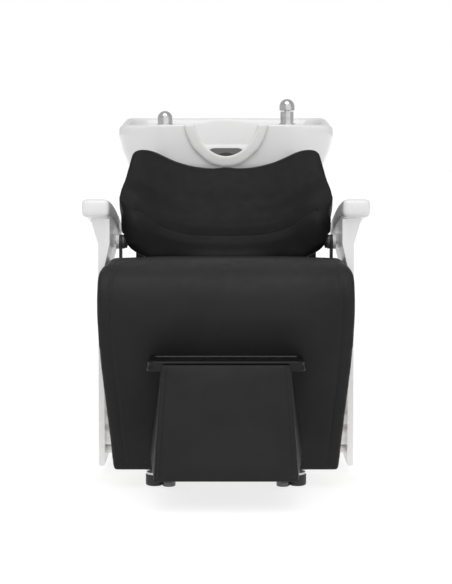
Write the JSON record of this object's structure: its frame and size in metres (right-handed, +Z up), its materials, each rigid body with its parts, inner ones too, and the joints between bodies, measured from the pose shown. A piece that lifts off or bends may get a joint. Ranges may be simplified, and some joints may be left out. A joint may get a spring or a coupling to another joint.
{
  "type": "salon backwash unit",
  "caption": "Salon shampoo backwash unit: padded seat with reclining bucket back, pull-out footrest, and a tilting ceramic wash bowl with mixer and hand shower on a pedestal.",
  "frame": {"origin": "centre of the footprint's bounding box, on the floor", "axes": "+Z up, +Y from the seat's front towards the wash bowl, +X to the right seen from the front"},
  "size_m": [0.654, 1.38, 0.899],
  "materials": {
    "black_leather": "satin, fine grain",
    "white_shell": "gloss",
    "white_ceramic": "glazed",
    "white_silicone": "satin",
    "chrome": "polished",
    "steel": "zinc plated",
    "black_steel": "satin powder coat",
    "black_plastic": "matt moulded",
    "gloss_black": "gloss",
    "grey_plastic": "satin moulded",
    "black_rubber": "matt",
    "plywood": "raw plywood"
  },
  "bodies": {
    "base": {"base_rails": "black_steel", "base_cross_tubes": "black_steel", "rail_end_plugs": "black_plastic", "levelling_foot_pads": "black_plastic", "levelling_foot_nuts": "steel", "levelling_foot_studs": "steel", "floor_anchor_brackets": "black_steel", "seat_uprights": "black_steel", "seat_side_tubes": "black_steel", "seat_cross_tubes": "black_steel", "seat_board": "plywood", "apron_board": "plywood", "seat_cushion": "black_leather", "side_panel_left": "white_shell", "side_panel_right": "white_shell", "armrest_left": "white_shell", "armrest_right": "white_shell", "panel_spacers": "steel", "panel_screws": "steel", "recline_brackets": "black_steel", "recline_stop_posts": "black_steel", "recline_stop_bumpers": "black_rubber", "slide_guides": "black_plastic", "pedestal_base_plate": "black_steel", "pedestal_column": "black_steel", "pedestal_cover": "white_shell", "rear_service_panel": "white_shell", "service_panel_screws": "steel", "tilt_yoke": "black_steel"},
    "backrest": {"backrest_cushion": "black_leather", "backrest_shell": "black_plastic", "backrest_arms": "black_steel", "backrest_cross_tube": "black_steel", "backrest_stays": "black_steel", "pivot_pins": "steel", "pivot_caps": "grey_plastic"},
    "bowl": {"basin": "white_ceramic", "neck_rest": "white_silicone", "tilt_saddle": "black_steel", "tilt_pin": "steel", "strainer_dish": "grey_plastic", "drain_body": "grey_plastic", "drain_nut": "grey_plastic", "waste_elbow": "grey_plastic", "mixer_base": "chrome", "shower_sleeve": "chrome", "deck_nuts": "steel"},
    "mixer_cartridge": {"mixer_cartridge": "chrome"},
    "mixer_handle": {"mixer_handle": "chrome"},
    "hand_shower": {"hand_shower_body": "chrome", "hand_shower_face": "black_plastic"},
    "hair_strainer": {"hair_strainer": "black_plastic"},
    "clamp_knob": {"tilt_clamp_knob": "black_plastic"},
    "footrest": {"footrest_tray": "gloss_black", "footrest_core": "plywood", "footrest_pad": "black_leather", "footrest_risers": "black_steel", "footrest_slide_bars": "black_steel", "footrest_rear_crossbar": "black_steel", "footrest_glide_feet": "chrome"}
  },
  "joints": [
    {"name": "recline", "type": "hinge", "parent": "base", "child": "backrest", "pos_m": [0, -0.09, 0.537], "axis": [1, 0, 0], "range_deg": [0, 10]},
    {"name": "footrest_slide", "type": "slide", "parent": "base", "child": "footrest", "axis": [0, -1, 0], "range_m": [0, 0.25]},
    {"name": "bowl_tilt", "type": "hinge", "parent": "base", "child": "bowl", "pos_m": [0, 0.4, 0.6], "axis": [1, 0, 0], "range_deg": [-6, 8]},
    {"name": "tilt_clamp", "type": "hinge", "parent": "bowl", "child": "clamp_knob", "pos_m": [0, 0.4, 0.6], "axis": [1, 0, 0], "range_deg": [-180, 180]},
    {"name": "mixer_turn", "type": "hinge", "parent": "bowl", "child": "mixer_cartridge", "pos_m": [0.162, 0.198, 0.866], "axis": [0, 0, 1], "range_deg": [-45, 45]},
    {"name": "mixer_lift", "type": "hinge", "parent": "mixer_cartridge", "child": "mixer_handle", "pos_m": [0.162, 0.198, 0.866], "axis": [1, 0, 0], "range_deg": [0, 25]},
    {"name": "shower_lift", "type": "slide", "parent": "bowl", "child": "hand_shower", "axis": [0, 0, 1], "range_m": [0, 0.16]},
    {"name": "strainer_lift", "type": "slide", "parent": "bowl", "child": "hair_strainer", "axis": [0, -0.7071, 0.7071], "range_m": [0, 0.06]}
  ]
}
